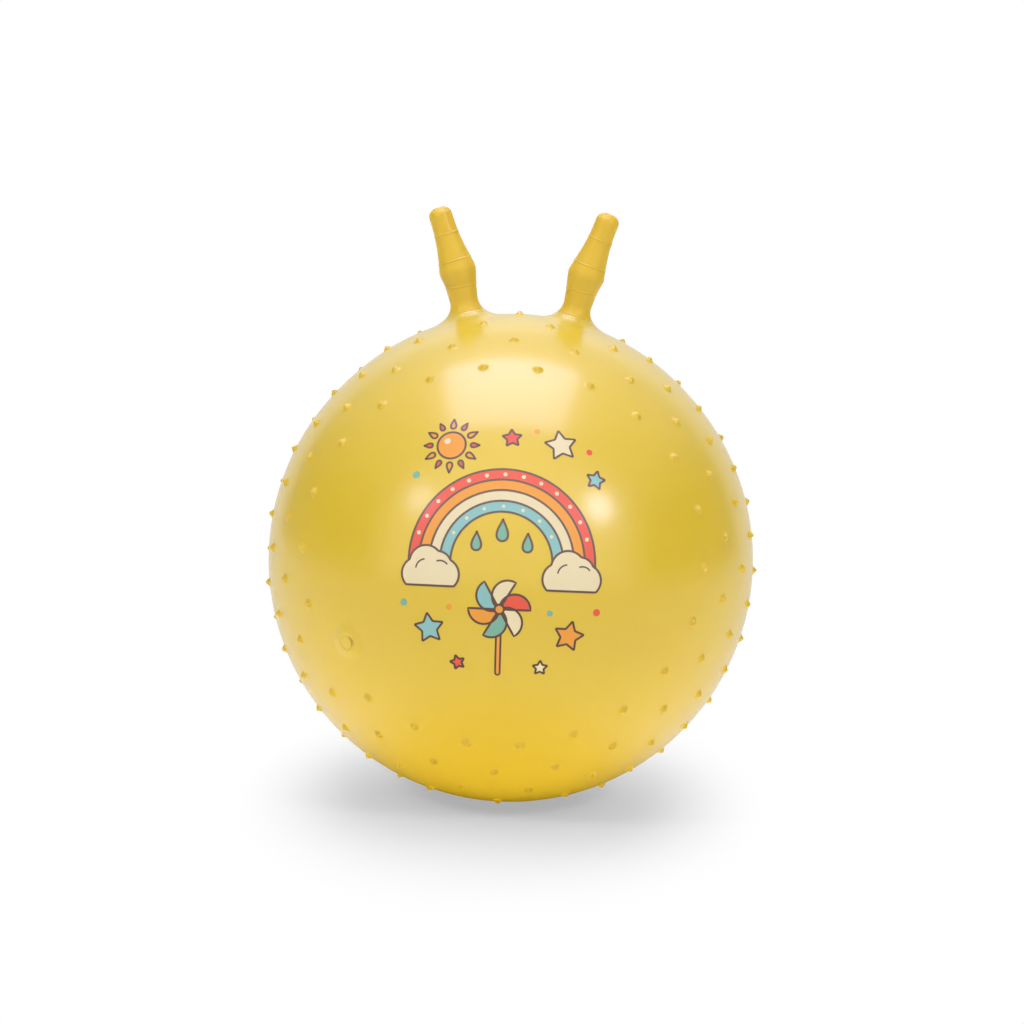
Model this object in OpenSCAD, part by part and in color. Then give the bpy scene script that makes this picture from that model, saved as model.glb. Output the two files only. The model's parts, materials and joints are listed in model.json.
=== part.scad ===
// Hopper ball: a sealed soft vinyl ball with massage studs and two bending horns to hold on to.
// Millimetres, +Z up. The origin is the middle of the patch that the ball rests on. The bare front panel
// faces -Y and the two horns stand side by side along X.

/* [Ball] */
// Diameter of the inflated ball
ball_d = 450; // [400:5:550]
// Wall of the ball skin
skin_t = 1.2; // [0.8:0.1:2]
// Radius of the patch that the weight of the ball flattens on the floor
foot_r = 30; // [24:1:45]
// How far the skin between the horns stands proud of the round ball
crown_lift = 3.4; // [2:0.1:5]
// Radius of the swollen crown, square to the vertical
crown_reach = 155; // [130:1:170]

/* [Necks] */
// Lean of each neck away from the vertical, in degrees
neck_lean = 13; // [12:0.5:17]
// Radius of the waist, the thinnest place of the neck
waist_r = 13; // [10:0.5:15]
// Radius of the fillet that flares the shoulder out into the ball
flare_r = 22; // [16:1:26]
// Height of the crease at the foot of the neck, above the crown
crease_h = 6.5; // [5:0.5:12]
// Length of the neck from the crease to the lowest ring
neck_h = 22.5; // [18:0.5:30]
// Wall of the horns
horn_t = 2.5; // [1.5:0.1:4]
// Slit at each end of the neck
split_gap = 0.3; // [0.2:0.05:0.5]

/* [Grips] */
// Lean of each grip away from the vertical, in degrees
grip_lean = 18; // [13:0.5:22]
// Length of the grip from the lowest ring to the tip
grip_h = 76; // [72:1:100]
// Radius of the grip at the lowest ring
grip_foot_r = 14; // [12:0.5:16]
// Radius at the swell of the grip, before its ridge is rounded over
swell_r = 17.3; // [16.5:0.1:20]
// Height of the swell above the lowest ring
swell_h = 16; // [12:0.5:22]
// How far the ridge of the swell is rounded over
swell_round = 1.2; // [0.4:0.1:2]
// Length over which the swell runs out into the tip
taper_h = 46; // [36:1:50]
// Radius of the grip near its tip
tip_r = 10.8; // [10:0.1:13]
// Rounding of the tip
tip_round = 8; // [4:0.5:9]
// Number of raised rings on each grip
ring_count = 3; // [1:1:3]
// Distance from ring to ring
ring_pitch = 25.4; // [18:0.2:30]
// Radius of the bead that forms each ring
ring_bead = 0.7; // [0.4:0.1:1.2]

/* [Studs] */
// Diameter of a stud at its foot
stud_d = 8.5; // [6:0.5:11]
// Height of a stud
stud_h = 3.5; // [3:0.5:6]
// Radius of the rounded tip of a stud
stud_tip = 1.4; // [0.8:0.1:1.8]
// Number of places in each ring of studs
ring_places = 22; // [16:2:28]
// Number of rings between the bare front panel and the bare back panel
stud_rings = 9; // [5:2:9]
// Angle from ring to ring, in degrees
stud_step = 10; // [8:0.1:10.5]
// How far the middle of the bare front panel looks up, in degrees
panel_tilt = 9; // [0:1:20]
// How far the rings of studs are drawn in above and below the bare panels, as a share
panel_oval = 0.06; // [0:0.01:0.12]
// Radius kept free of studs around the axis of each horn
horn_bare = 45; // [42:1:60]
// Radius kept free of studs around the valve
valve_bare = 38; // [24:1:50]
// Least height of a stud's tip above the floor
floor_bare = 1; // [0.5:0.5:4]

/* [Valve] */
// Turn of the valve from the front towards the left, in degrees
valve_turn = 37; // [20:1:60]
// How far the valve looks down, in degrees
valve_dip = 14; // [0:1:40]
// Radius of the swollen rim of the valve seat
rim_r = 13; // [11:0.5:16]
// Height of the rim above the ball skin
rim_h = 2.6; // [2.2:0.1:4]
// Radius of the sleeve that goes through the skin
sleeve_r = 7; // [6:0.5:9]
// Depth of the sleeve below the outside of the skin
sleeve_h = 14; // [8:0.5:20]
// Radius of the bore in the sleeve
bore_r = 3.1; // [2.5:0.1:4]
// Radius of the head of the plug
head_r = 6; // [5:0.1:7]
// Thickness of the head of the plug
head_t = 1.6; // [1:0.1:2]
// Length of the stem of the plug below its head
stem_h = 15; // [9:0.5:20]
// Number of sealing lands on the stem
land_count = 3; // [2:1:4]
// Depth of the grooves between the sealing lands
land_h = 0.5; // [0.2:0.1:0.8]
// Play of the stem in the bore
stem_play = 0.05; // [0.02:0.01:0.1]
// Play around and under the head of the plug
head_play = 0.3; // [0.2:0.05:0.4]

/* [Hidden] */
$fn = 96;

skin_yellow = [0.91, 0.79, 0.30];
horn_yellow = [0.88, 0.70, 0.18];

// Weld line between pieces that are bonded to the skin
bond_gap = 0.05;
// Reach of a cutting tool past the face that it cuts
over = 1;
// Points along each rounded stretch of an outline
arc_steps = 10;
// How far the side of a stud runs in under its rounded tip, as a share of the radius of the tip
stud_tuck = 0.95;
// Points along the outside of a grip
grip_steps = 30;
// Angle between the points at which the foot of a stud is set on the skin
foot_turn = 45;

left = -1;
right = 1;

// Ball and crown: the crown is the sphere through its rim on the ball and its own raised top
ball_r = ball_d / 2;
ball_z = sqrt(pow(ball_r, 2) - pow(foot_r, 2));
crown_h = ball_r + crown_lift - sqrt(pow(ball_r, 2) - pow(crown_reach, 2));
crown_r = (pow(crown_reach, 2) + pow(crown_h, 2)) / (2 * crown_h);
crown_z = ball_r + crown_lift - crown_r;

// Flare of the shoulder: its fillet sinks a little into the crown, so that the two surfaces cross
flare_sink = 0.3;
flare_x = waist_r + flare_r;
flare_far = crown_r + flare_r - flare_sink;
flare_z = sqrt(pow(flare_far, 2) - pow(flare_x, 2)) - crown_r;
flare_end = acos(flare_x / flare_far);
neck_top = crease_h + neck_h;

// Opening in the skin under each horn: its edge lies in the middle of the wall of the shoulder
edge_r = crown_r - skin_t / 2;
edge_arc = acos((pow(flare_far, 2) + pow(edge_r, 2) - pow(flare_r + horn_t / 2, 2)) / (2 * flare_far * edge_r));
opening_r = edge_r * sin(asin(flare_x / flare_far) - edge_arc);

// Rings of studs around the axis of the front panel, half a place apart from ring to ring
place_step = 360 / ring_places;
middle_ring = (stud_rings - 1) / 2;
zone_rings = ceil(stud_rings / 3);

// Side of a stud: it heads for the place where it would just touch the rounded tip
stud_side = [stud_d / 2, stud_h - stud_tip];
stud_turn = acos(stud_tip / norm(stud_side)) - atan(stud_side[1] / stud_side[0]);
tuck_end = [0, stud_side[1]] + stud_tuck * stud_tip * [cos(stud_turn), sin(stud_turn)];

valve_dir = [-sin(valve_turn) * cos(valve_dip), -cos(valve_turn) * cos(valve_dip), -sin(valve_dip)];

// A smooth start and stop between 0 and 1
function ease(x) = let (c = min(1, max(0, x))) c * c * (3 - 2 * c);

// The smaller of two values, rounded over where they meet
function soft_min(a, b, width) = min(a, b) - pow(max(0, width - abs(a - b)), 2) / (4 * width);

// Radius of the flare and neck at a height above the crown, with the wall taken off for the inside
function neck_r(z, wall) = z < flare_z
    ? flare_x - sqrt(pow(flare_r + wall, 2) - pow(flare_z - z, 2))
    : waist_r + (grip_foot_r - waist_r) * ease((z - flare_z) / (neck_top - flare_z)) - wall;

// Point on the shoulder's fillet, from 0 in the skin to 1 at the crease
function shoulder_point(share, wall) =
    let (top = asin((flare_z - crease_h) / (flare_r + wall)), a = flare_end + (top - flare_end) * share)
    [flare_x - (flare_r + wall) * cos(a), flare_z - (flare_r + wall) * sin(a)];

// Radius of the grip at a height above its lowest ring, before the tip is rounded
function swell_rise(z) = grip_foot_r + (swell_r - grip_foot_r) * z / swell_h;
function swell_fall(z) = z < swell_h
    ? swell_r + (swell_r - tip_r) * (swell_h - z) * PI / 2 / taper_h
    : tip_r + (swell_r - tip_r) * (1 - sin(90 * min(1, (z - swell_h) / taper_h)));
function grip_r(z) = soft_min(swell_rise(z), swell_fall(z), swell_round);

// Outline of a grip from its foot to its tip, drawn in by the wall for the inside
function grip_side(wall) = let (round_h = tip_round - wall / 2, top = grip_h - wall)
    [for (i = [0:grip_steps])
        let (z = (top - round_h) * i / grip_steps)
        [grip_r(z) - wall, z]];
function grip_end(wall) = let (round_h = tip_round - wall / 2, top = grip_h - wall)
    [for (i = [1:arc_steps])
        let (a = 90 * i / arc_steps)
        [grip_r(top - round_h) - wall - round_h * (1 - cos(a)), top - round_h + round_h * sin(a)]];
function grip_outline(wall) = concat(grip_side(wall), grip_end(wall));

function reversed(list) = [for (i = [len(list) - 1:-1:0]) list[i]];

// Direction of a stud place: ring and place count around the axis of the front panel
function stud_dir(ring, place) =
    let (turn = (place + (ring % 2 == 0 ? 0.5 : 0)) * place_step,
         polar = 90 + (ring - middle_ring) * stud_step * (1 + panel_oval * cos(2 * turn)),
         rise = sin(polar) * cos(turn))
    [sin(polar) * sin(turn),
     -cos(polar) * cos(panel_tilt) + rise * sin(panel_tilt),
     cos(polar) * sin(panel_tilt) + rise * cos(panel_tilt)];

// Distance of a place on the ball from the axis of one horn
function horn_distance(dir, side) =
    let (axis = [side * sin(neck_lean), 0, cos(neck_lean)], p = dir * ball_r - [0, 0, crown_z])
    p * axis > 0 ? norm(p - (p * axis) * axis) : ball_d;

function stud_fits(dir) = horn_distance(dir, left) > horn_bare
    && horn_distance(dir, right) > horn_bare
    && norm(dir - valve_dir) * ball_r > valve_bare
    && ball_z + dir[2] * (ball_r + stud_h) > floor_bare;

function stud_dirs(zone) =
    [for (ring = [zone * zone_rings:min(stud_rings, (zone + 1) * zone_rings) - 1])
        for (place = [0:ring_places - 1])
            let (dir = stud_dir(ring, place))
            if (stud_fits(dir)) dir];

// Height of the outside of the ball below its own pole, at a radius from the pole
function skin_drop(r) = ball_r - sqrt(pow(ball_r, 2) - pow(r, 2));

// Distance from the middle of the ball to the outside of its skin, on the ball or on the crown
function skin_reach(dir) =
    max(ball_r, dir[2] * crown_z + sqrt(pow(crown_r, 2) - pow(crown_z, 2) * (1 - pow(dir[2], 2))));

// Distance at which the whole foot of a stud clears the skin
function stud_seat(dir) =
    let (u = cross([0, 1, 0], dir) / norm(cross([0, 1, 0], dir)), v = cross(dir, u))
    bond_gap + max([for (a = [0:foot_turn:360 - foot_turn])
        let (p = ball_r * dir + stud_d / 2 * (cos(a) * u + sin(a) * v))
        skin_reach(p / norm(p))]);

module at_ball() {
    translate([0, 0, ball_z]) children();
}

// Turns +Z into a direction from the middle of the ball
module towards(dir) {
    at_ball() rotate([0, acos(dir[2]), atan2(dir[1], dir[0])]) children();
}

// Frame on the crown, with +Z along the axis of one neck
module at_neck(side) {
    at_ball() translate([0, 0, crown_z]) rotate([0, side * neck_lean, 0]) translate([0, 0, crown_r]) children();
}

// Frame at the lowest ring, with +Z along the axis of one grip
module at_grip(side) {
    at_neck(side) translate([0, 0, neck_top]) rotate([0, side * (grip_lean - neck_lean), 0]) children();
}

// Outline of the round ball and its crown, flat where it rests, and drawn in by the wall for the inside
module ball_outline(wall) {
    intersection() {
        union() {
            translate([0, ball_z]) circle(r = ball_r - wall);
            translate([0, ball_z + crown_z]) circle(r = crown_r - wall);
        }
        translate([0, wall]) square([ball_d, 2 * ball_d]);
    }
}

// Wall of the flared shoulder around one neck axis, from the skin up to the crease
module shoulder() {
    outside = [for (i = [0:arc_steps]) shoulder_point(i / arc_steps, 0)];
    inside = [for (i = [0:arc_steps]) shoulder_point(i / arc_steps, horn_t)];
    rotate([0, 0, 90]) rotate_extrude() polygon(concat(outside, reversed(inside)));
}

module ball_skin() {
    color(skin_yellow) union() {
        difference() {
            rotate([0, 0, 90]) rotate_extrude() difference() {
                ball_outline(0);
                ball_outline(skin_t);
            }
            for (side = [left, right]) at_neck(side) translate([0, 0, -crown_r / 2])
                cylinder(r = opening_r, h = crown_r);
            towards(valve_dir) cylinder(r = sleeve_r + bond_gap, h = ball_d);
        }
        for (side = [left, right]) at_neck(side) shoulder();
    }
}

// Soft neck: a short tube from the crease to the plane of the lowest ring
module neck(side) {
    foot = crease_h + split_gap;
    span = neck_top + over - foot;
    inside = [for (i = [0:arc_steps]) let (z = foot + span * i / arc_steps) [neck_r(z, horn_t), z]];
    outside = [for (i = [0:arc_steps]) let (z = foot + span * i / arc_steps) [neck_r(z, 0), z]];
    color(horn_yellow) difference() {
        at_neck(side) rotate_extrude() polygon(concat(outside, reversed(inside)));
        at_grip(side) translate([0, 0, -split_gap]) cylinder(r = 2 * grip_foot_r, h = neck_h);
    }
}

// Hand grip: hollow, closed at its tip, with raised rings
module grip(side) {
    color(horn_yellow) at_grip(side) union() {
        rotate_extrude() polygon(concat(grip_outline(0), [[0, grip_h], [0, grip_h - horn_t]],
                                        reversed(grip_outline(horn_t))));
        for (i = [0:ring_count - 1]) {
            ring_z = i == 0 ? ring_bead : i * ring_pitch;
            rotate_extrude() translate([grip_r(ring_z), ring_z]) circle(r = ring_bead);
        }
    }
}

// One massage stud: a small cone with a rounded tip, standing on the XY plane
module stud() {
    rotate_extrude() intersection() {
        union() {
            polygon([[0, 0], [stud_d / 2, 0], tuck_end, [0, tuck_end[1]]]);
            translate([0, stud_h - stud_tip]) circle(r = stud_tip);
        }
        square([stud_d, stud_h]);
    }
}

module studs(zone) {
    color(skin_yellow) for (dir = stud_dirs(zone)) towards(dir) translate([0, 0, stud_seat(dir)]) stud();
}

module front_studs() {
    studs(0);
}

module side_studs() {
    studs(1);
}

module back_studs() {
    studs(2);
}

// Welded valve seat: swollen rim with a recess for the head of the plug, and a sleeve with the bore
module valve_seat() {
    recess_r = head_r + head_play;
    recess_z = rim_h - head_t - 2 * head_play;
    lip = (rim_r - recess_r) / 2;
    swell = [for (i = [0:arc_steps])
        let (a = 180 * i / arc_steps, x = recess_r + lip + lip * cos(a))
        [x, (rim_h - recess_z) * sin(a) + recess_z * (1 - cos(a)) / 2 - skin_drop(rim_r) * (1 + cos(a)) / 2]];
    color(skin_yellow) towards(valve_dir) translate([0, 0, ball_r + bond_gap]) difference() {
        rotate_extrude() polygon(concat([[0, -sleeve_h], [sleeve_r, -sleeve_h], [sleeve_r, -skin_drop(sleeve_r)]],
                                        swell, [[0, recess_z]]));
        translate([0, 0, -sleeve_h - over]) cylinder(r = bore_r, h = sleeve_h + rim_h + 2 * over);
    }
}

// Stopper: low domed head in the recess of the seat, and a stem with sealing lands
module valve_plug() {
    head_z = rim_h - head_t - head_play;
    dome = head_t / 2;
    stem_r = bore_r - stem_play;
    groove_r = stem_r - land_h;
    land_step = stem_h / land_count;
    stem = [for (i = [land_count - 1:-1:0]) let (z = head_z - i * land_step)
        each [[groove_r, z - land_step], [stem_r, z - land_step + land_h],
              [stem_r, z - land_step / 2], [groove_r, z - land_step / 2]]];
    head = [for (i = [0:arc_steps])
        let (a = 90 * i / arc_steps)
        [head_r * cos(a), head_z + dome + (head_t - dome) * sin(a)]];
    color(horn_yellow) towards(valve_dir) translate([0, 0, ball_r + bond_gap]) rotate_extrude()
        polygon(concat([[0, head_z - stem_h]], stem, [[groove_r, head_z], [head_r, head_z]], head));
}

ball_skin();
neck(left);  // left_neck
neck(right);  // right_neck
grip(left);  // left_grip
grip(right);  // right_grip
front_studs();
side_studs();
back_studs();
valve_seat();
valve_plug();
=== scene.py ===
import json
import math

import bpy
import numpy as np
from mathutils import Matrix, Vector

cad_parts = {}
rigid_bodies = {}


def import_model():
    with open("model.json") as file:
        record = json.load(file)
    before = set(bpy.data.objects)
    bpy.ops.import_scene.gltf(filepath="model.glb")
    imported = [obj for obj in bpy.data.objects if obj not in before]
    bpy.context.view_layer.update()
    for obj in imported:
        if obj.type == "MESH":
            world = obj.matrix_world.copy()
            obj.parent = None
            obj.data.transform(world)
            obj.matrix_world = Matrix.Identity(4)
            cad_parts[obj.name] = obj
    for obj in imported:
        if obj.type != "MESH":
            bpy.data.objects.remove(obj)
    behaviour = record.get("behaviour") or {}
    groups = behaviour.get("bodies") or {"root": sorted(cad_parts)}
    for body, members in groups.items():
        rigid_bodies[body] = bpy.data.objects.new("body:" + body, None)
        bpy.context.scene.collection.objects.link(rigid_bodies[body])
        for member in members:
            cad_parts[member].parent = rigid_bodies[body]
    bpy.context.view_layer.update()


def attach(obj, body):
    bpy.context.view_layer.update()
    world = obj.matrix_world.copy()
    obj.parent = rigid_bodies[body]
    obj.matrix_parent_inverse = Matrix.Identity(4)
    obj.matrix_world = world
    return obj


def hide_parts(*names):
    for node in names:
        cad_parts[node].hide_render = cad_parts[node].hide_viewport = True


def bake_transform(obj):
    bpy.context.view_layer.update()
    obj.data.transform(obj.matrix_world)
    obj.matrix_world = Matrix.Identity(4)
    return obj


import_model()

# Ball skin. One rotocast skin of soft yellow vinyl, blown up tight. It swells into a crown between the horns, rises
# in a flared shoulder to the crease under each horn, lies flat where it rests and is pierced for the valve.
MM = 0.001
BALL_R = 225.0
SKIN_T = 1.2
FOOT_R = 30.0
FOOT_BLEND = 0.3
BALL_Z = math.sqrt(BALL_R ** 2 - FOOT_R ** 2)
CROWN_LIFT = 3.4
CROWN_REACH = 155.0
CROWN_BLEND = 1.0
CROWN_H = BALL_R + CROWN_LIFT - math.sqrt(BALL_R ** 2 - CROWN_REACH ** 2)
CROWN_R = (CROWN_REACH ** 2 + CROWN_H ** 2) / (2 * CROWN_H)
CROWN_Z = BALL_R + CROWN_LIFT - CROWN_R
CELLS = 264
CELL = 2 * math.pi / CELLS


def soft_max(a, b, width):
    """The larger of two values, rounded over where they meet."""
    return np.maximum(a, b) + np.maximum(0, width - np.abs(a - b)) ** 2 / (4 * width)


def unit(v):
    v = np.asarray(v, float)
    return v / np.linalg.norm(v, axis=-1, keepdims=True)


def skin_point(way):
    """Places on the outside of the skin, for ways out from the middle of the ball."""
    way = unit(way)
    up = way[..., 2]
    crown = up * CROWN_Z + np.sqrt(CROWN_R ** 2 - CROWN_Z ** 2 * (1 - up ** 2))
    point = way * soft_max(BALL_R, crown, CROWN_BLEND)[..., None] + (0, 0, BALL_Z)
    point[..., 2] = soft_max(point[..., 2], 0, FOOT_BLEND)
    return point


def grid_way(i, j):
    """Way out from the middle of the ball: i counts round the front to back axis, j from the front pole."""
    around, down = np.asarray(i) * CELL, np.asarray(j) * CELL
    return np.stack([np.sin(down) * np.sin(around), -np.cos(down), np.sin(down) * np.cos(around)], -1)


class Skin:
    """Points and faces of a mesh, gathered in millimetres."""

    def __init__(self):
        self.points, self.faces = [], []

    def add(self, points):
        first = len(self.points)
        self.points.extend(np.asarray(points, float).reshape(-1, 3))
        return list(range(first, len(self.points)))

    def strip(self, outer, inner):
        """Closes the band between two loops of the same length."""
        n = len(outer)
        self.faces += [(outer[k], outer[(k + 1) % n], inner[(k + 1) % n], inner[k]) for k in range(n)]

    def cap(self, loop, point):
        """Closes a loop over one point."""
        tip, n = self.add([point])[0], len(loop)
        self.faces += [(loop[k], loop[(k + 1) % n], tip) for k in range(n)]

    def piece(self, name, material):
        used = sorted({v for face in self.faces for v in face})
        place = {v: k for k, v in enumerate(used)}
        mesh = bpy.data.meshes.new(name)
        mesh.from_pydata([tuple(self.points[v] * MM) for v in used], [],
                         [[place[v] for v in face] for face in self.faces])
        mesh.polygons.foreach_set("use_smooth", [True] * len(mesh.polygons))
        mesh.materials.append(material)
        mesh.update()
        piece = bpy.data.objects.new(name, mesh)
        bpy.context.scene.collection.objects.link(piece)
        return piece


LEAN = math.radians(13)
WAIST_R = 13.0
FLARE_WIDE = 27.0
FLARE_OUTWARD = 4.0
FLARE_HIGH = 19.0
CREASE_H = 6.5
CROWN_MIDDLE = np.array([0, 0, BALL_Z + CROWN_Z])
SIDES = {"left": -1, "right": 1}
HORN_COLUMN = 9
HORN_ROW = 66
HORN_BLOCK = 8
VALVE_WAY = np.array([-math.sin(math.radians(37)) * math.cos(math.radians(14)),
                      -math.cos(math.radians(37)) * math.cos(math.radians(14)), -math.sin(math.radians(14))])
VALVE_HOLE_R = 7.2


def horn_frame(side):
    """Way of a horn's axis, and the two ways square to it: outward to the right and to the back."""
    axis = np.array([side * math.sin(LEAN), 0, math.cos(LEAN)])
    return axis, np.array([axis[2], 0, -axis[0]]), np.array([0.0, 1.0, 0.0])


def even_angles(n):
    return np.arange(n) * 2 * math.pi / n - math.pi / 4


horn_angles = even_angles(8 * HORN_BLOCK)


def flare(side):
    """The flare of a shoulder is a quarter of an ellipse, wider on the outside of the horn. At each angle round the
    horn: its half width, the height of its top above the crown, and how far it turns until it lies on the crown."""
    wide = FLARE_WIDE + FLARE_OUTWARD * side * np.cos(horn_angles)
    turn = np.full(len(wide), math.pi / 2)
    for _ in range(20):
        r = WAIST_R + wide * (1 - np.cos(turn))
        turn = np.arctan2(FLARE_HIGH * np.sqrt(CROWN_R ** 2 - r ** 2), wide * r)
    return wide, FLARE_HIGH * np.sin(turn) + np.sqrt(CROWN_R ** 2 - r ** 2) - CROWN_R, turn


def flare_r(h, side):
    """Radius of the flared shoulder round the horn, at a height above the crown."""
    wide, top, _ = flare(side)
    return WAIST_R + wide * (1 - np.sqrt(1 - (np.maximum(top - h, 0) / FLARE_HIGH) ** 2))


def ripple(arc):
    """Fine wrinkles that the bending of the horn has left in the shoulder, at a length of arc below the crease."""
    return sum(depth * np.exp(-((arc - at) / width) ** 2)
               for at, width, depth in ((1.9, 0.5, -0.16), (3.2, 0.7, 0.12), (4.6, 0.6, -0.1), (7.4, 0.9, -0.07)))


ball = Skin()
windows = [(side * HORN_COLUMN, HORN_ROW, HORN_BLOCK, HORN_BLOCK) for side in SIDES.values()]
valve_down = math.acos(-VALVE_WAY[1])
valve_around = math.atan2(VALVE_WAY[0], VALVE_WAY[2])
windows.append((round(valve_around / CELL), round(valve_down / CELL), 6, 4))
ids = {}
rows = CELLS // 2
for j in range(1, rows):
    row = ball.add(skin_point(grid_way(np.arange(CELLS), np.full(CELLS, j))))
    ids.update({(i, j): v for i, v in enumerate(row)})
left_out = {((ci + a) % CELLS, cj + b) for ci, cj, hi, hj in windows
            for a in range(-hi, hi) for b in range(-hj, hj)}
for j in range(1, rows - 1):
    for i in range(CELLS):
        if (i, j) not in left_out:
            n = (i + 1) % CELLS
            ball.faces.append((ids[i, j], ids[n, j], ids[n, j + 1], ids[i, j + 1]))
ball.cap([ids[i, 1] for i in reversed(range(CELLS))], skin_point(np.array([0.0, -1.0, 0.0])))
ball.cap([ids[i, rows - 1] for i in range(CELLS)], skin_point(np.array([0.0, 1.0, 0.0])))


def window_loop(ci, cj, hi, hj):
    """Grid points round a window, counted so that the angle rises from the middle of its first side."""
    offsets = ([(hi, b) for b in range(-hj, hj)] + [(a, hj) for a in range(hi, -hi, -1)]
               + [(-hi, b) for b in range(hj, -hj, -1)] + [(a, -hj) for a in range(-hi, hi)])
    return [((ci + a) % CELLS, cj + b) for a, b in offsets], [math.atan2(b / hj, a / hi) for a, b in offsets]


def ring(middle, across, back, r, angles):
    r = np.broadcast_to(r, angles.shape)[:, None]
    return middle + r * (np.cos(angles)[:, None] * across + np.sin(angles)[:, None] * back)


def shoulder_ring(side, h, r):
    """Points round the straight foot of a horn, at heights above the crown."""
    axis, across, back = horn_frame(side)
    h = np.broadcast_to(h, horn_angles.shape)[:, None]
    return ring(CROWN_MIDDLE + axis * (CROWN_R + h), across, back, r, horn_angles)


FLARE_RINGS = 44
FLARE_ARC = 21.0
TURN_RINGS = 3
for side, window in zip(SIDES.values(), windows):
    loop = [ids[key] for key in window_loop(*window)[0]]
    wide, top, foot_turn = flare(side)
    crease_turn = np.arcsin((top - CREASE_H) / FLARE_HIGH)
    outside = shoulder_ring(side, top - FLARE_HIGH * np.sin(foot_turn), WAIST_R + wide * (1 - np.cos(foot_turn)))
    start = np.array([ball.points[v] for v in loop]) - (0, 0, BALL_Z)
    for k in range(1, TURN_RINGS + 1):
        share = k / (TURN_RINGS + 1)
        inner = ball.add(skin_point(unit(start) * (1 - share) + unit(outside - (0, 0, BALL_Z)) * share))
        ball.strip(loop, inner)
        loop = inner
    for k in range(FLARE_RINGS + 1):
        turn = foot_turn + (crease_turn - foot_turn) * (1 - (1 - k / FLARE_RINGS) ** 1.5)
        swell = ripple(FLARE_ARC * (turn - crease_turn))
        inner = ball.add(shoulder_ring(side, top - (FLARE_HIGH - swell) * np.sin(turn),
                                       WAIST_R + wide * (1 - np.cos(turn)) + swell * np.cos(turn)))
        ball.strip(loop, inner)
        loop = inner
    for dr, dh in ((-0.22, 0.16), (-0.55, 0.2), (-1.0, 0.05)):
        inner = ball.add(shoulder_ring(side, CREASE_H + dh, flare_r(CREASE_H, side) + dr))
        ball.strip(loop, inner)
        loop = inner

keys, angles = window_loop(*windows[2])
loop, angles = [ids[key] for key in keys], np.array(angles)
valve_across = np.array([math.cos(valve_around), 0, -math.sin(valve_around)])
valve_back = np.cross(VALVE_WAY, valve_across)
start = np.array([ball.points[v] for v in loop]) - (0, 0, BALL_Z)
hole_h = math.sqrt(BALL_R ** 2 - VALVE_HOLE_R ** 2)
outside = ring(VALVE_WAY * hole_h, valve_across, valve_back, VALVE_HOLE_R, angles)
for k in range(1, TURN_RINGS + 2):
    share = k / (TURN_RINGS + 1)
    inner = ball.add(skin_point(unit(start) * (1 - share) + unit(outside) * share))
    ball.strip(loop, inner)
    loop = inner


class Value:
    """A number that changes over a surface: sums written with it become Math nodes."""

    def __init__(self, finish, socket):
        self.finish, self.socket = finish, socket

    def math(self, operation, *values):
        return self.finish.node("ShaderNodeMath", {"operation": operation}, dict(enumerate(values)))

    def __add__(self, other):
        return self.math("ADD", self, other)

    def __sub__(self, other):
        return self.math("SUBTRACT", self, other)

    def __rsub__(self, other):
        return self.math("SUBTRACT", other, self)

    def __mul__(self, other):
        return self.math("MULTIPLY", self, other)

    __radd__, __rmul__ = __add__, __mul__


class Finish:
    """A material, or another tree of shader nodes, that is built node by node."""

    def __init__(self, owner):
        owner.use_nodes = True
        self.owner, self.tree = owner, owner.node_tree
        self.tree.nodes.clear()

    def node(self, kind, settings=None, sockets=None, out=0):
        node = self.tree.nodes.new(kind)
        for name, value in (settings or {}).items():
            setattr(node, name, value)
        named = {s.identifier: s for s in node.inputs}
        for key, value in (sockets or {}).items():
            socket = node.inputs[key] if isinstance(key, int) else named.get(key) or node.inputs[key]
            if isinstance(value, Value):
                self.tree.links.new(value.socket, socket)
            else:
                socket.default_value = value
        outs = {s.identifier: s for s in node.outputs}
        return Value(self, outs[out] if out in outs else node.outputs[out]) if node.outputs else None

    def mix(self, share, a, b):
        """A colour between two others."""
        return self.node("ShaderNodeMix", {"data_type": "RGBA"},
                         {"Factor_Float": share, "A_Color": a, "B_Color": b}, "Result_Color")

    def noise(self, place, scale, detail):
        return self.node("ShaderNodeTexNoise", {}, {"Vector": place, "Scale": scale, "Detail": detail}, "Fac")

    def place(self):
        return self.node("ShaderNodeTexCoord", {}, {}, "Object")


def rgb(r, g, b):
    """A colour from the numbers that a paint chart gives, as Blender wants it."""
    return tuple((c / 255 / 12.92 if c <= 10 else ((c / 255 + 0.055) / 1.055) ** 2.4) for c in (r, g, b)) + (1,)


def vinyl(name, pale, deep, rough, gloss, grain):
    """Soft cast vinyl: cloudy colour from the rotocasting, a handled sheen and the fine skin of the mould."""
    finish = Finish(bpy.data.materials.new(name))
    place = finish.place()
    cloud = finish.noise(place, 9, 3)
    speck = finish.noise(place, 420, 2)
    handled = finish.noise(place, 26, 4)
    peel = finish.noise(place, 340, 1)
    colour = finish.mix(cloud * 0.8 + speck * 0.3 - 0.05, deep, pale)
    bump = finish.node("ShaderNodeBump", {}, {"Height": peel + speck * 0.5, "Strength": grain, "Distance": 0.00006})
    shader = finish.node("ShaderNodeBsdfPrincipled", {}, {
        "Base Color": colour, "Roughness": rough - 0.06 + handled * 0.1 + speck * 0.04, "Normal": bump, "IOR": 1.53,
        "Coat Weight": gloss - 0.1 + handled * 0.2, "Coat Roughness": 0.2, "Coat IOR": 1.5})
    finish.node("ShaderNodeOutputMaterial", {}, {"Surface": shader})
    return finish.owner


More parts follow.
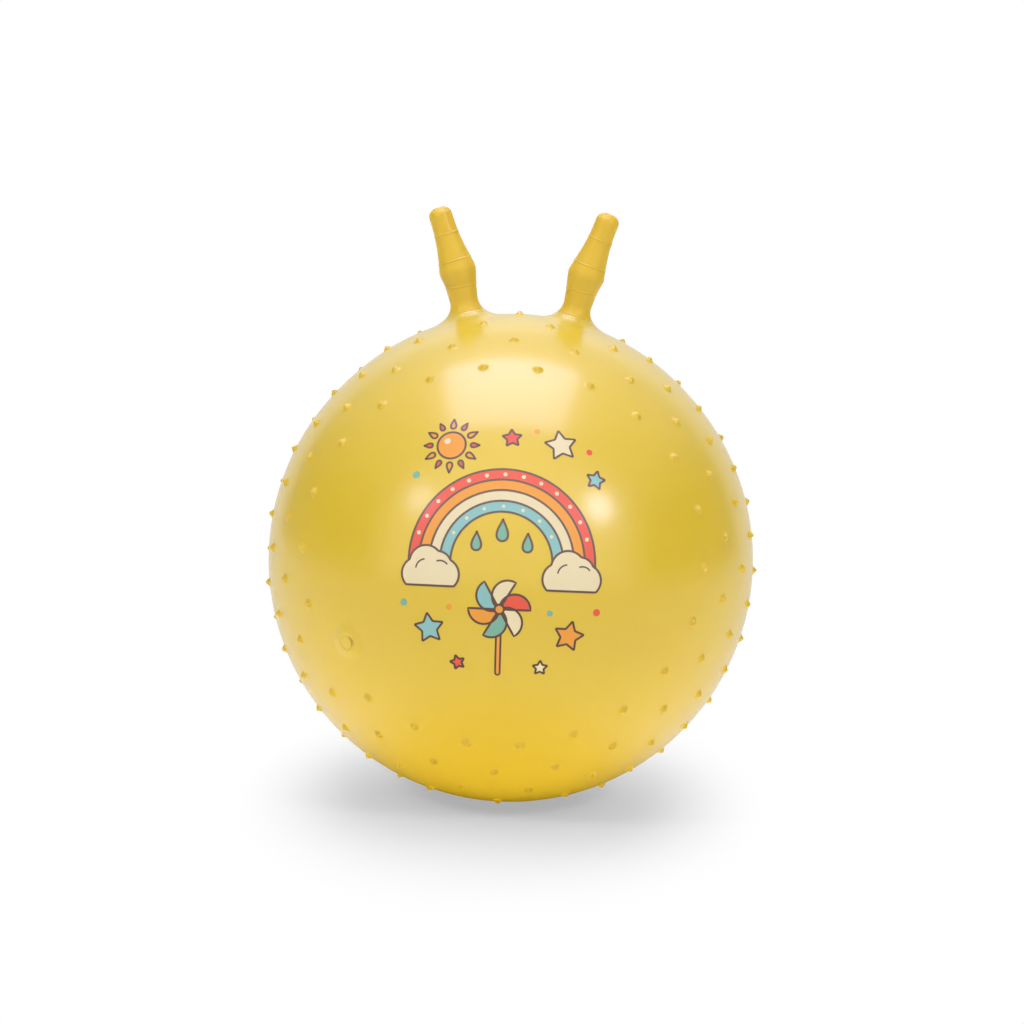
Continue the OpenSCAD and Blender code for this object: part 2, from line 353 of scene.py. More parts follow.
ball_vinyl = vinyl("ball_vinyl", rgb(223, 191, 46), rgb(218, 184, 34), 0.42, 0.9, 0.25)
ball_piece = ball.piece("ball_skin_vinyl", ball_vinyl)
wall = ball_piece.modifiers.new("wall", "SOLIDIFY")
wall.thickness = SKIN_T * MM
wall.offset = -1
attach(ball_piece, "ball")
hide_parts("ball_skin")

# Massage studs. Small blunt nubs of the same vinyl, cast with the skin in staggered rings round the bare front and
# back panels; they are duller than the skin, their colour is a little deeper yellow as painted shade, and their feet
# run out into it in a short hollow curve.
STUD_FOOT = 5.2
STUD_H = 3.5
STUD_LIFT = 0.02
STUD_PLACES = 22
STUD_RINGS = 9
STUD_STEP = math.radians(10)
PANEL_TILT = math.radians(9)
PANEL_OVAL = 0.06
HORN_BARE = 45.0
VALVE_BARE = 38.0
FLOOR_BARE = 1.0
STUD_SIDES = 24


def stud_way(row, place):
    turn = (place + (0.5 if row % 2 == 0 else 0)) * 2 * math.pi / STUD_PLACES
    polar = math.pi / 2 + (row - (STUD_RINGS - 1) / 2) * STUD_STEP * (1 + PANEL_OVAL * math.cos(2 * turn))
    rise = math.sin(polar) * math.cos(turn)
    return np.array([math.sin(polar) * math.sin(turn),
                     -math.cos(polar) * math.cos(PANEL_TILT) + rise * math.sin(PANEL_TILT),
                     math.cos(polar) * math.sin(PANEL_TILT) + rise * math.cos(PANEL_TILT)])


def clear_of_horn(way, side):
    axis = horn_frame(side)[0]
    p = way * BALL_R - (0, 0, CROWN_Z)
    return p @ axis < 0 or np.linalg.norm(p - (p @ axis) * axis) > HORN_BARE


def stud_stands(way):
    return (all(clear_of_horn(way, side) for side in SIDES.values())
            and np.linalg.norm(way - VALVE_WAY) * BALL_R > VALVE_BARE
            and BALL_Z + way[2] * (BALL_R + STUD_H) > FLOOR_BARE)


def skin_frame(way):
    """Place on the skin, its outward normal, and two ways along it."""
    u = unit(np.cross([0.0, 1.0, 0.0] if abs(way[1]) < 0.9 else [1.0, 0.0, 0.0], way))
    v = np.cross(way, u)
    step = 0.01
    p, pu, pv = skin_point(np.array([way, way + step * u, way + step * v]))
    normal = unit(np.cross(pu - p, pv - p))
    u = unit(u - (u @ normal) * normal)
    return p, normal, u, np.cross(normal, u)


def stud_profile():
    """Radius and height of a stud, from under the skin up the hollow foot to the rounded tip."""
    flank = [(STUD_FOOT + 0.5, -0.2), (STUD_FOOT + 0.2, -0.05)]
    for r in np.linspace(STUD_FOOT, 0.4, 14):
        flank.append((r, STUD_LIFT + STUD_H * (0.5 + 0.5 * math.cos(math.pi * r / STUD_FOOT))))
    return flank


# A slightly deeper yellow than the skin's vinyl, which is painted shade on the studs.
stud_vinyl_painted_shade = vinyl("stud_vinyl_painted_shade", rgb(224, 188, 40), rgb(218, 180, 30), 0.45, 0.5, 0.25)
stud_angles = np.arange(STUD_SIDES) * 2 * math.pi / STUD_SIDES
for zone, node in enumerate(("front_studs", "side_studs", "back_studs")):
    studs = Skin()
    for row in range(3 * zone, 3 * zone + 3):
        for place in range(STUD_PLACES):
            way = stud_way(row, place)
            if not stud_stands(way):
                continue
            p, normal, u, v = skin_frame(way)
            loop = None
            for r, h in stud_profile():
                inner = studs.add(ring(p + normal * h, u, v, r, stud_angles))
                if loop:
                    studs.strip(loop, inner)
                else:
                    first = inner
                loop = inner
            studs.cap(loop, p + normal * (STUD_LIFT + STUD_H))
            studs.cap(first[::-1], p - normal * 0.3)
    piece = studs.piece(node + "_vinyl", stud_vinyl_painted_shade)
    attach(piece, "ball")
    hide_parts(node)

# Necks. The soft foot of each horn, a short tube of thicker and deeper yellow vinyl; it starts in the crease on the
# shoulder and is drawn in to a waist.
NECK_H = 22.5
NECK_TOP = CREASE_H + NECK_H
GRIP_FOOT_R = 14.0
TIP_LEAN = math.radians(19.5)
BEND_FROM, BEND_TO = 30.0, 54.0
NECK_PIVOT = CREASE_H + 0.3 * NECK_H
GRIP_PIVOT = CREASE_H + 0.75 * NECK_H
JOIN_H = (NECK_PIVOT + GRIP_PIVOT) / 2
horn_vinyl = vinyl("horn_vinyl", rgb(229, 189, 52), rgb(223, 180, 40), 0.55, 0.2, 0.3)


def horn_axis(s, side):
    """Place and way of a horn's middle line, which leans out a little further above the neck."""
    def lean_at(h):
        return LEAN + (TIP_LEAN - LEAN) * min(1, max(0, (h - BEND_FROM) / (BEND_TO - BEND_FROM)))

    low = min(s, BEND_FROM)
    x, z = (CROWN_R + low) * math.sin(LEAN), (CROWN_R + low) * math.cos(LEAN)
    steps = 24
    for k in range(steps):
        h = low + (s - low) * (k + 0.5) / steps
        x += (s - low) / steps * math.sin(lean_at(h))
        z += (s - low) / steps * math.cos(lean_at(h))
    lean = lean_at(s)
    way = np.array([side * math.sin(lean), 0, math.cos(lean)])
    return CROWN_MIDDLE + (side * x, 0, z), way


def horn_ring(s, r, side):
    middle, way = horn_axis(s, side)
    return ring(middle, np.array([way[2], 0, -way[0]]), np.array([0.0, 1.0, 0.0]), r, horn_angles)


def ease(x):
    x = np.clip(x, 0, 1)
    return x * x * (3 - 2 * x)


def neck_r(s, side):
    top = flare(side)[1]
    return flare_r(s, side) + (GRIP_FOOT_R - WAIST_R) * ease((s - top) / (NECK_TOP - top))


def lathe_horn(skin, outline, side):
    loop = first = None
    for s, r in outline:
        inner = skin.add(horn_ring(s, r, side))
        if loop:
            skin.strip(loop, inner)
        else:
            first = inner
        loop = inner
    return first, loop


NECK_TUCK = ((-1.2, -2.2), (-0.5, -1.4), (0.12, -0.75), (0.42, -0.5))
for name, side in SIDES.items():
    neck = Skin()
    outline = [(CREASE_H + dh, flare_r(CREASE_H, side) + dr) for dh, dr in NECK_TUCK]
    outline += [(s, neck_r(s, side)) for s in np.linspace(CREASE_H + 0.8, JOIN_H, 36)]
    lathe_horn(neck, outline, side)
    piece = neck.piece(name + "_neck_vinyl", horn_vinyl)
    start, end = horn_axis(CREASE_H + 1, side)[0] * MM, horn_axis(JOIN_H - 0.2, side)[0] * MM
    name + "_neck"
    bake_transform(piece)
    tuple(start)
    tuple(end)
    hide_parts(name + "_neck")

# Grips. The hand grips of the horns, cast in one with the necks: a swell under the palm, a long taper to a round tip
# and three raised rings. The last of the neck is drawn with each grip.
GRIP_H = 76.0
SWELL_R = 17.3
SWELL_H = 16.0
SWELL_ROUND = 1.2
TAPER_H = 46.0
TIP_R = 10.8
TIP_ROUND = 8.0
RING_PITCH = 25.4
RING_PLACES = (0.7, RING_PITCH, 2 * RING_PITCH)
RING_H = 0.4
RING_W = 0.6


def grip_r(z):
    rise = GRIP_FOOT_R + (SWELL_R - GRIP_FOOT_R) * z / SWELL_H
    if z < SWELL_H:
        fall = SWELL_R + (SWELL_R - TIP_R) * (SWELL_H - z) * math.pi / 2 / TAPER_H
    else:
        fall = TIP_R + (SWELL_R - TIP_R) * (1 - math.sin(math.pi / 2 * min(1, (z - SWELL_H) / TAPER_H)))
    return min(rise, fall) - max(0, SWELL_ROUND - abs(rise - fall)) ** 2 / (4 * SWELL_ROUND)


def horn_r(s, side):
    z = s - NECK_TOP
    body = neck_r(s, side) if z < 0 else grip_r(z)
    bead = max(math.exp(-(((z - at) / RING_W) ** 2) ** 1.5) for at in RING_PLACES)
    return body + RING_H * bead


def horn_outline(side):
    end = NECK_TOP + GRIP_H
    stations = set(np.round(np.linspace(JOIN_H, end - TIP_ROUND, 90), 4))
    for at in RING_PLACES:
        stations |= set(np.round(NECK_TOP + at + np.linspace(-2.2, 2.2, 30), 4))
    outline = [(s, horn_r(s, side)) for s in sorted(stations)]
    for a in np.linspace(0, math.pi / 2, 14)[1:-1]:
        outline.append((end - TIP_ROUND + TIP_ROUND * math.sin(a),
                        grip_r(GRIP_H - TIP_ROUND) - TIP_ROUND * (1 - math.cos(a))))
    for r in (2.4, 1.2):
        outline.append((end, r))
    return outline


for name, side in SIDES.items():
    grip = Skin()
    first, last = lathe_horn(grip, horn_outline(side), side)
    grip.cap(last, horn_axis(NECK_TOP + GRIP_H, side)[0])
    piece = grip.piece(name + "_grip_vinyl", horn_vinyl)
    start, end = horn_axis(JOIN_H + 0.2, side)[0] * MM, horn_axis(NECK_TOP, side)[0] * MM
    name + "_neck"
    name + "_horn"
    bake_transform(piece)
    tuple(start)
    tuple(end)
    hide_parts(name + "_grip")

# Valve seat. A thicker ring of vinyl welded into the skin: a soft swollen rim with a recess, drawn into a short crease
# at one side of the plug, and a sleeve with the bore for the plug behind it.
RIM_R = 19.0
LIP_R = 7.6
RIM_H = 1.9
CREASE_R = 7.5
CREASE_W = 1.1
CREASE_DEEP = 2.4
RECESS_R = 6.3
RECESS_Z = -0.1
BORE_R = 3.1
SLEEVE_R = 7.0
SLEEVE_H = 14.0
VALVE_SIDES = 64
valve_angles = np.arange(VALVE_SIDES) * 2 * math.pi / VALVE_SIDES
valve_middle = VALVE_WAY * BALL_R + (0, 0, BALL_Z)
crease_share = ((1 - np.sin(valve_angles)) / 2)[:, None] ** 8


def lathe_valve(outline):
    skin, loop, first = Skin(), None, None
    for r, h, *sunk in outline:
        inner = skin.add(ring(valve_middle + VALVE_WAY * h, valve_across, valve_back, r, valve_angles)
                         - VALVE_WAY * crease_share * (sunk[0] if sunk else 0))
        if loop:
            skin.strip(loop, inner)
        else:
            first = inner
        loop = inner
    return skin, first, loop


def drop(r):
    return BALL_R - math.sqrt(BALL_R ** 2 - r ** 2)


def crease(r):
    return CREASE_DEEP * math.exp(-((r - CREASE_R) / CREASE_W) ** 2)


seat_outline = [(SLEEVE_R, -SLEEVE_H), (SLEEVE_R, -4), (SLEEVE_R, -1.6), (RIM_R - 1, -1.6 - drop(RIM_R - 1)),
                (RIM_R, -0.15 - drop(RIM_R))]
for r in np.linspace(RIM_R, LIP_R, 40)[1:]:
    rise = ease((RIM_R - r) / (RIM_R - LIP_R))
    seat_outline.append((r, -drop(r) + 0.02 + (RIM_H + drop(LIP_R) - 0.02) * rise, crease(r)))
for turn in np.linspace(0, math.pi / 2, 8)[1:]:
    r = LIP_R - (LIP_R - RECESS_R - 0.3) * math.sin(turn)
    seat_outline.append((r, RIM_H - 0.1 * (1 - math.cos(turn)), crease(r)))
lip_sunk = crease(RECESS_R + 0.1)
seat_outline += [(RECESS_R + 0.1, RIM_H - 0.16, lip_sunk), (RECESS_R, RIM_H - 0.4, lip_sunk),
                 (RECESS_R, RECESS_Z + 0.3), (RECESS_R - 0.3, RECESS_Z), (BORE_R + 0.4, RECESS_Z),
                 (BORE_R, RECESS_Z - 0.4), (BORE_R, -SLEEVE_H)]
seat, first, last = lathe_valve(seat_outline)
seat.strip(last, first)
seat_piece = seat.piece("valve_seat_vinyl", ball_vinyl)
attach(seat_piece, "ball")
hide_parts("valve_seat")

# Valve plug. A small stopper of the same vinyl: a low domed head that lies in the recess of the seat, and a stem with
# sealing lands that is pressed into the bore.
HEAD_R = 6.22
HEAD_T = 1.7
HEAD_Z = RIM_H - HEAD_T + 0.05
STEM_H = 15.0
LANDS = 3
STEM_R = BORE_R - 0.05
GROOVE_R = STEM_R - 0.5
plug_vinyl = vinyl("plug_vinyl", rgb(224, 193, 52), rgb(219, 186, 40), 0.4, 0.95, 0.2)
plug_outline = [(GROOVE_R - 0.6, HEAD_Z - STEM_H)]
for k in reversed(range(LANDS)):
    low = HEAD_Z - (k + 1) * STEM_H / LANDS
    high = low + STEM_H / LANDS / 2
    plug_outline += [(GROOVE_R, low + 0.2), (STEM_R - 0.1, low + 0.5), (STEM_R, low + 0.7), (STEM_R, high),
                     (STEM_R - 0.1, high + 0.15), (GROOVE_R, high + 0.2)]
plug_outline += [(GROOVE_R, HEAD_Z), (HEAD_R - 0.3, HEAD_Z), (HEAD_R, HEAD_Z + 0.3)]
for a in np.linspace(0, math.pi / 2, 14)[:-1]:
    plug_outline.append((HEAD_R * math.cos(a) ** 0.8, HEAD_Z + HEAD_T * 0.88 + HEAD_T * 0.12 * math.sin(a)))
plug, first, last = lathe_valve(plug_outline)
plug.cap(last, valve_middle + VALVE_WAY * (HEAD_Z + HEAD_T))
plug.cap(first[::-1], valve_middle + VALVE_WAY * (HEAD_Z - STEM_H))
plug_piece = plug.piece("valve_plug_vinyl", plug_vinyl)
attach(plug_piece, "plug")
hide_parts("valve_plug")

# Front print. A picture in soft inks, screened on the bare front panel: each ink is a film that is laid on the skin,
# flat colours first, small dots over them and the dark outlines last.
PANEL_TURN = math.radians(0.9)
PANEL_RISE = math.radians(11.5)
INK_UNDER = -0.15
INK_FLAT, INK_OVER, INK_LINE = 0.05, 0.09, 0.13
INK_FRONT = 0.13
OUTLINE_W = 1.9
panel_way = np.array([math.sin(PANEL_TURN) * math.cos(PANEL_RISE), -math.cos(PANEL_TURN) * math.cos(PANEL_RISE),
                      math.sin(PANEL_RISE)])
panel_right = np.array([math.cos(PANEL_TURN), math.sin(PANEL_TURN), 0])
panel_up = np.cross(panel_way, panel_right)


def on_panel(points, height):
    """Places of the flat picture, in millimetres right of and above its middle, laid on the ball."""
    points = np.asarray(points, float).reshape(-1, 2)
    reach = np.linalg.norm(points, axis=1, keepdims=True)
    along = points / np.maximum(reach, 1e-9)
    way = (panel_way * np.cos(reach / BALL_R)
           + (along[:, :1] * panel_right + along[:, 1:] * panel_up) * np.sin(reach / BALL_R))
    return skin_point(way) + way * height


class Ink(Skin):
    """The film of one ink."""

    def fill(self, loop, middle, height=INK_FLAT):
        """A flat of colour inside a loop that is seen whole from its middle."""
        loop, middle = np.asarray(loop, float), np.asarray(middle, float)
        count = max(1, math.ceil(np.linalg.norm(loop - middle, axis=1).max() / 5))
        edges = []
        for side, level in ((1, height), (-1, INK_UNDER)):
            outer = self.add(on_panel(loop, level))
            edges.append(outer)
            for k in range(1, count):
                inner = self.add(on_panel(loop + (middle - loop) * k / count, level))
                self.strip(*((outer, inner) if side > 0 else (inner, outer)))
                outer = inner
            self.cap(outer if side > 0 else outer[::-1], on_panel(middle, level)[0])
        self.strip(edges[1], edges[0])

    def line(self, path, width=OUTLINE_W, height=INK_LINE, closed=False):
        """A stroke along a path; an open one has round ends."""
        path = np.asarray(path, float)
        half = np.full(len(path), width / 2)
        if closed:
            run = np.roll(path, -1, 0) - np.roll(path, 1, 0)
        else:
            first, last = unit(path[0] - path[1]), unit(path[-1] - path[-2])
            turns = np.radians((80, 50, 25))
            path = np.concatenate([path[0] + np.sin(turns)[:, None] * first * width / 2, path,
                                   path[-1] + np.sin(turns[::-1])[:, None] * last * width / 2])
            half = np.concatenate([np.cos(turns) * width / 2, half, np.cos(turns[::-1]) * width / 2])
            run = np.gradient(path, axis=0)
        run = unit(run)
        aside = np.stack([run[:, 1], -run[:, 0]], 1)
        count = max(1, math.ceil(width / 4))
        shares = np.linspace(-1, 1, count + 1)
        rows = [[self.add(on_panel(path + aside * (half * share)[:, None], level)) for share in shares]
                for level in (height, INK_UNDER)]
        around = rows[0] + rows[1][::-1]
        n = len(path)
        for a, b in zip(around, around[1:] + around[:1]):
            self.faces += [(a[k], b[k], b[(k + 1) % n], a[(k + 1) % n]) for k in range(n if closed else n - 1)]
        if not closed:
            for k, flip in ((0, 1), (n - 1, -1)):
                for a, b, c, d in zip(rows[0], rows[0][1:], rows[1][1:], rows[1]):
                    self.faces.append((a[k], d[k], c[k], b[k])[::flip])


inks = {name: Ink() for name in ("red", "orange", "cream", "sky", "teal", "brown")}


def arc(middle, r, start, end):
    turn = np.radians(np.linspace(start, end, max(8, math.ceil(abs(end - start) * r / 150))))
    return np.stack([middle[0] + r * np.cos(turn), middle[1] + r * np.sin(turn)], 1)


def circle(middle, r):
    return arc(middle, r, 0, 360)[:-1]


def polar(middle, radius, n=72):
    """A closed outline from its radius at each angle."""
    turn = np.arange(n) * 2 * math.pi / n
    r = np.array([radius(t) for t in turn])
    return np.stack([middle[0] + r * np.cos(turn), middle[1] + r * np.sin(turn)], 1)


def drawn(ink, loop, middle, lift=0.0):
    """A flat of colour with a dark outline."""
    inks[ink].fill(loop, middle, INK_FLAT + lift)
    inks["brown"].line(loop, height=INK_LINE + lift, closed=True)


def star(middle, r, turn=0.0):
    """A five-pointed star with straight sides and blunt points."""
    angles = turn + math.pi / 2 + np.arange(11) * math.pi / 5
    reach = np.where(np.arange(11) % 2, 0.52 * r, r)
    points = np.stack([middle[0] + reach * np.cos(angles), middle[1] + reach * np.sin(angles)], 1)
    sides = [a + (b - a) * share for a, b in zip(points, points[1:]) for share in (0.04, 0.35, 0.65, 0.96)]
    return np.array(sides)


def drop_shape(middle, r, turn=0.0):
    """A drop that points along the angle, straight up at 0."""
    t = np.arange(40) * 2 * math.pi / 40
    x, y = r * np.sin(t) * np.sin(t / 2) ** 1.5, 1.35 * r * np.cos(t)
    return np.stack([middle[0] - x * math.cos(turn) - y * math.sin(turn),
                     middle[1] - x * math.sin(turn) + y * math.cos(turn)], 1)


def cloud(middle, bumps, base):
    """A cloud of round bumps on a flat base, seen whole from its middle."""
    def radius(t):
        reach = [x * math.cos(t) + y * math.sin(t)
                 + math.sqrt(max(0, r * r - (x * math.sin(t) - y * math.cos(t)) ** 2)) for x, y, r in bumps]
        return min(max(reach), base / -math.sin(t) if math.sin(t) < -0.05 else 1e3)

    return polar(middle, radius, 96)


ARCH = (0.0, -16.0)
ARCH_R = 82.0
BAND_W = 9.5
for k, name in enumerate(("red", "orange", "cream", "sky")):
    inks[name].line(arc(ARCH, ARCH_R - BAND_W * (k + 0.5), 0, 180), BAND_W, INK_FLAT)
for k in range(5):
    inks["brown"].line(arc(ARCH, ARCH_R - BAND_W * k, 0, 180))
for turn in range(18, 163, 12):
    spot = arc(ARCH, ARCH_R - BAND_W / 2, turn, turn)[0]
    inks["cream"].fill(circle(spot, 1.9), spot, INK_OVER)
for turn in range(30, 151, 20):
    spot = arc(ARCH, ARCH_R - 3.5 * BAND_W, turn, turn)[0]
    inks["cream"].fill(circle(spot, 1.6), spot, INK_OVER)
CLOUD_BUMPS = ((-12, -1, 14), (12, -1, 14), (0, -2, 13), (-4, 9, 15), (7, 7, 12))
for x in (-62, 62):
    middle = (x, -27.0)
    drawn("cream", cloud(middle, CLOUD_BUMPS, 11), middle, INK_FRONT)
    for start, r in ((40, 8), (100, 9)):
        inks["brown"].line(arc((x - 4 if start > 50 else x + 9, -24), r, start, start + 70), 1.4, INK_LINE + INK_FRONT)

SUN = (-50.0, 88.0)
drawn("orange", circle(SUN, 13), SUN)
for k in range(12):
    turn = k * math.pi / 6
    middle = (SUN[0] + 21.5 * -math.sin(turn), SUN[1] + 21.5 * math.cos(turn))
    drawn("red" if k % 2 else "orange", drop_shape(middle, 3.0 if k % 2 else 3.6, turn), middle)
inks["cream"].fill(circle((SUN[0] - 4, SUN[1] + 4), 3.2), (SUN[0] - 4, SUN[1] + 4), INK_OVER)

for name, x, y, r, turn in (("cream", 48, 92, 15, 0.2), ("sky", 80, 62, 9, -0.2), ("red", 4, 96, 9, 0.1),
                            ("sky", -62, -76, 14, 0.15), ("orange", 62, -78, 14, -0.2), ("red", -36, -106, 7, 0.3),
                            ("cream", 38, -108, 7, 0.0)):
    drawn(name, star((x, y), r, turn), (x, y))
for x, y, r in ((-22, 2, 6.0), (0, 12, 7.0), (22, 2, 6.0)):
    drawn("teal", drop_shape((x, y), r), (x, y))
for name, x, y, r in (("teal", -80, 60, 3.6), ("orange", 26, 104, 2.8), ("red", 74, 88, 3.0), ("teal", -86, -54, 3.4),
                      ("red", 86, -56, 3.4), ("orange", -44, -56, 2.8), ("teal", 44, -58, 2.8)):
    inks[name].fill(circle((x, y), r), (x, y))

WHEEL = (0.0, -56.0)
BLADE_R = 27.0
stick = [(WHEEL[0], y) for y in np.linspace(WHEEL[1], -114, 16)]
inks["brown"].line(stick, 5.8, INK_FLAT)
inks["orange"].line(stick, 2.4, INK_LINE)
for k, name in enumerate(("red", "cream", "sky", "orange", "teal", "cream")):
    turn = k * 60
    tip = arc(WHEEL, BLADE_R, turn, turn)[0]
    middle = (np.array(WHEEL) + tip) / 2
    half = arc(middle, BLADE_R / 2, turn, turn + 180)
    edge = np.linspace(half[-1], half[0], 12)[1:-1]
    inside = arc(middle, BLADE_R / 5, turn + 90, turn + 90)[0]
    drawn(name, np.concatenate([half, edge]), inside, INK_FRONT)
drawn("orange", circle(WHEEL, 4.2), WHEEL, 2 * INK_FRONT)

INK_COLOURS = {"red": (rgb(232, 84, 56), rgb(222, 72, 46)), "orange": (rgb(238, 158, 40), rgb(230, 146, 30)),
               "cream": (rgb(236, 221, 182), rgb(230, 212, 170)), "sky": (rgb(140, 192, 190), rgb(130, 184, 183)),
               "teal": (rgb(122, 178, 156), rgb(112, 168, 146)), "brown": (rgb(82, 47, 22), rgb(72, 40, 18))}
for name, (pale, deep) in INK_COLOURS.items():
    piece = inks[name].piece("front_print_" + name, vinyl("ink_" + name, pale, deep, 0.45, 0.75, 0.2))
    piece.data.set_sharp_from_angle(angle=math.radians(35))
    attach(piece, "ball")

# Studio. A white shooting table that glows where the camera sees it; the glow is lowered in an oval round the ball,
# which paints a part of its shadow, and in the ball's gloss the table near it is painted a darker yellow, painted
# shade and painted yellow bounce light. A lamp under the table lights the ball through it, and a broad light far
# overhead and lamps in front, behind, beside and above light the ball evenly; a soft box and two round lamps show in
# its gloss, a little bluish on the yellow vinyl. Then the camera.
MIDDLE = Vector((0, 0, BALL_Z * MM))
FLOOR_HALF = 3.2
FLOOR_WHITE = (0.92, 0.92, 0.92, 1)
# Seen in the gloss, the table near the ball is painted a darker yellow: painted shade and painted yellow bounce light.
FLOOR_PAINTED_SHADE_AND_BOUNCE = (0.5, 0.32, 0.03, 1)
FLOOR_GLOSS = (0.75, 0.75, 0.75, 1)
PAINTED_BOUNCE_FROM, PAINTED_BOUNCE_TO = 0.1, 0.5
# Near the ball the floor's glow falls to this level in an oval: painted shadow.
PAINTED_SHADOW_GLOW = 0.42
SHADE_OVAL = (2.05, 1, 1)
SHADE_FROM, SHADE_TO = 0.25, 0.525
floor_mesh = bpy.data.meshes.new("floor")
floor_mesh.from_pydata([(-FLOOR_HALF, -FLOOR_HALF, 0), (FLOOR_HALF, -FLOOR_HALF, 0), (FLOOR_HALF, FLOOR_HALF, 0),
                        (-FLOOR_HALF, FLOOR_HALF, 0)], [], [(0, 1, 2, 3)])
floor = bpy.data.objects.new("floor", floor_mesh)
floor.visible_shadow = False
bpy.context.scene.collection.objects.link(floor)


def ramp(finish, value, start, end):
    """A smooth rise from 0 at the start to 1 at the end."""
    return finish.node("ShaderNodeMapRange", {"interpolation_type": "SMOOTHSTEP"},
                       {"Value": value, "From Min": start, "From Max": end})


def ray(finish, kind):
    return finish.node("ShaderNodeLightPath", {}, {}, kind)


white = Finish(bpy.data.materials.new("floor_white"))
oval = white.node("ShaderNodeVectorMath", {"operation": "MULTIPLY"}, {0: white.place(), 1: SHADE_OVAL})
spread = white.node("ShaderNodeVectorMath", {"operation": "LENGTH"}, {0: oval}, "Value")
mirror = ray(white, "Is Glossy Ray") + ray(white, "Is Transmission Ray")
# Painted shade and bounce light: for gloss rays the table near the ball turns a darker yellow.
under = ray(white, "Is Glossy Ray") * (1 - ramp(white, spread, PAINTED_BOUNCE_FROM, PAINTED_BOUNCE_TO))
matt = white.node("ShaderNodeBsdfDiffuse", {}, {"Color": white.mix(under, FLOOR_WHITE, FLOOR_PAINTED_SHADE_AND_BOUNCE)})
plain = white.node("ShaderNodeEmission", {}, {"Color": white.mix(mirror, (1, 1, 1, 1), FLOOR_GLOSS)})
# Painted shadow: in an oval ramp, the floor's glow rises from a low level near the ball to full white further out.
far = ramp(white, spread, SHADE_FROM, SHADE_TO)
glow = ray(white, "Is Camera Ray") * (far * (1 - PAINTED_SHADOW_GLOW) + PAINTED_SHADOW_GLOW) + mirror * far
surface = white.node("ShaderNodeMixShader", {}, {0: glow, 1: matt, 2: plain})
white.node("ShaderNodeOutputMaterial", {}, {"Surface": surface})
floor_mesh.materials.append(white.owner)

GLOSS_FRONT, GLOSS_SIDE, GLOSS_BACK, GLOSS_TOP = 1.8, 0.2, 0.75, 0.75
FRONT_EDGE, BACK_EDGE, TOP_EDGE = (-0.3, -0.65), (0.70, 0.77), (0.2, 0.8)
world = bpy.data.worlds.new("studio")
bpy.context.scene.world = world
air = Finish(world)
way = air.node("ShaderNodeTexCoord", {}, {}, "Generated")
to_back = air.node("ShaderNodeSeparateXYZ", {}, {0: way}, "Y")
to_top = air.node("ShaderNodeSeparateXYZ", {}, {0: way}, "Z")
mirrored = (GLOSS_SIDE + ramp(air, to_back, *BACK_EDGE) * (GLOSS_BACK - GLOSS_SIDE)
            + ramp(air, to_back, *FRONT_EDGE) * (GLOSS_FRONT - GLOSS_SIDE)
            + ramp(air, to_top, *TOP_EDGE) * GLOSS_TOP)
glossy = ray(air, "Is Glossy Ray")
clear = ray(air, "Is Camera Ray") + ray(air, "Is Transmission Ray")
strength = clear + (1 - clear) * glossy * mirrored
backdrop = air.node("ShaderNodeBackground", {}, {"Color": (1, 1, 1, 1), "Strength": strength})
air.node("ShaderNodeOutputWorld", {}, {"Surface": backdrop})


def lamp(name, place, aim, size, level, shape="RECTANGLE", lights=True, shines=True, tint=(1, 1, 1)):
    """A flat lamp whose face is as bright as a white sheet that is lit to this level."""
    data = bpy.data.lights.new(name, "AREA")
    data.shape, data.size, data.size_y = shape, size[0], size[-1]
    data.energy = level * math.pi * size[0] * size[-1] * (1 if shape == "RECTANGLE" else math.pi / 4)
    data.color = tint
    data.cycles.use_multiple_importance_sampling = shines
    made = bpy.data.objects.new(name, data)
    bpy.context.scene.collection.objects.link(made)
    made.location = place
    made.rotation_euler = (Vector(aim) - Vector(place)).to_track_quat("-Z", "Y").to_euler()
    made.visible_camera, made.visible_diffuse, made.visible_glossy = False, lights, shines


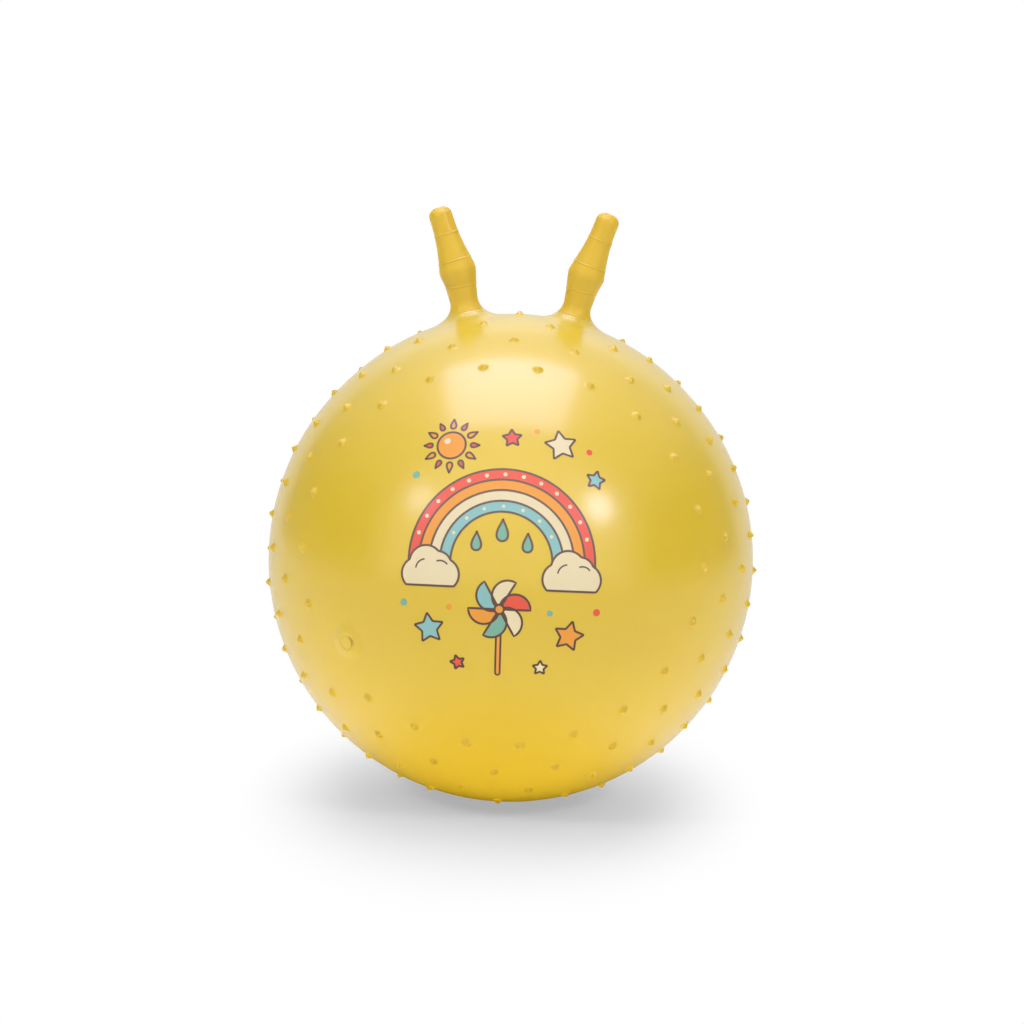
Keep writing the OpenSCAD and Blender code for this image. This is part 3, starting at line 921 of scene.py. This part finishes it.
COOL, WARM = (0.6, 0.6, 1), (1, 0.87, 0.65)
SPOT_SIZE = (0.32,)
SPOT_AWAY = 1.55
SPOT_LIGHT = 19
lamp("ceiling", (0, 0, 6), (0, 0, 0), (20, 20), 0.85, shines=False)
lamp("table_light", (0, 0, -0.45), (0, 0, 0), (1.3, 1.3), 1.62, shines=False, tint=WARM)
lamp("soft_box", (-0.06, -0.1, 1.42), (-0.06, -0.1, 0), (0.95, 0.8), 5.2, lights=False, tint=COOL)
lamp("box_light", (-0.06, 0.0, 1.42), (-0.06, 0.0, 0), (0.95, 1.0), 0.8, shines=False)
for name, way, level in (("left", (-0.595, -0.643, 0.478), 7.0), ("right", (0.624, -0.617, 0.481), 15.0)):
    place = MIDDLE + Vector(way) * SPOT_AWAY
    lamp(name + "_lamp", place, MIDDLE, SPOT_SIZE, level, "DISK", lights=False, tint=COOL)
    lamp(name + "_light", place, MIDDLE, SPOT_SIZE, SPOT_LIGHT, "DISK", shines=False)
lamp("back_light", (0, 1.9, 0.9), MIDDLE, (1.6, 1.2), 1.7, shines=False)
for name, x in (("left_side", -2.0), ("right_side", 2.0)):
    lamp(name, (x, 0.2, 0.8), MIDDLE, (1.2, 1.2), 1.2, shines=False)
# The ball throws no yellow light on the table, so that its shadow stays grey.
for piece in bpy.context.scene.collection.objects:
    if piece.type == "MESH" and piece is not floor:
        piece.visible_diffuse = False

IMAGE = 1024
FOCAL_PX = 2842
DISTANCE = 2.65
CAMERA_TURN = math.radians(3)
CAMERA_RISE = math.radians(8.3)
CAMERA_ROLL = math.radians(2.2)
BALL_PX = (510.8, 559.2)
camera = bpy.data.objects.new("camera", bpy.data.cameras.new("camera"))
bpy.context.scene.collection.objects.link(camera)
camera.data.sensor_width = 36
camera.data.lens = FOCAL_PX / IMAGE * camera.data.sensor_width
out = Vector((math.sin(CAMERA_TURN) * math.cos(CAMERA_RISE), -math.cos(CAMERA_TURN) * math.cos(CAMERA_RISE),
              math.sin(CAMERA_RISE)))
camera.location = MIDDLE + out * DISTANCE
aim = (-out).to_track_quat("-Z", "Y").to_matrix()
sight = Vector((BALL_PX[0] - IMAGE / 2, IMAGE / 2 - BALL_PX[1], -FOCAL_PX)).normalized()
roll = Matrix.Rotation(CAMERA_ROLL, 3, "Z")
turn = (roll @ sight).rotation_difference(Vector((0, 0, -1))).to_matrix()
camera.rotation_euler = (aim @ turn @ roll).to_euler()
bpy.context.scene.camera = camera
bpy.context.scene.view_settings.view_transform = "Standard"
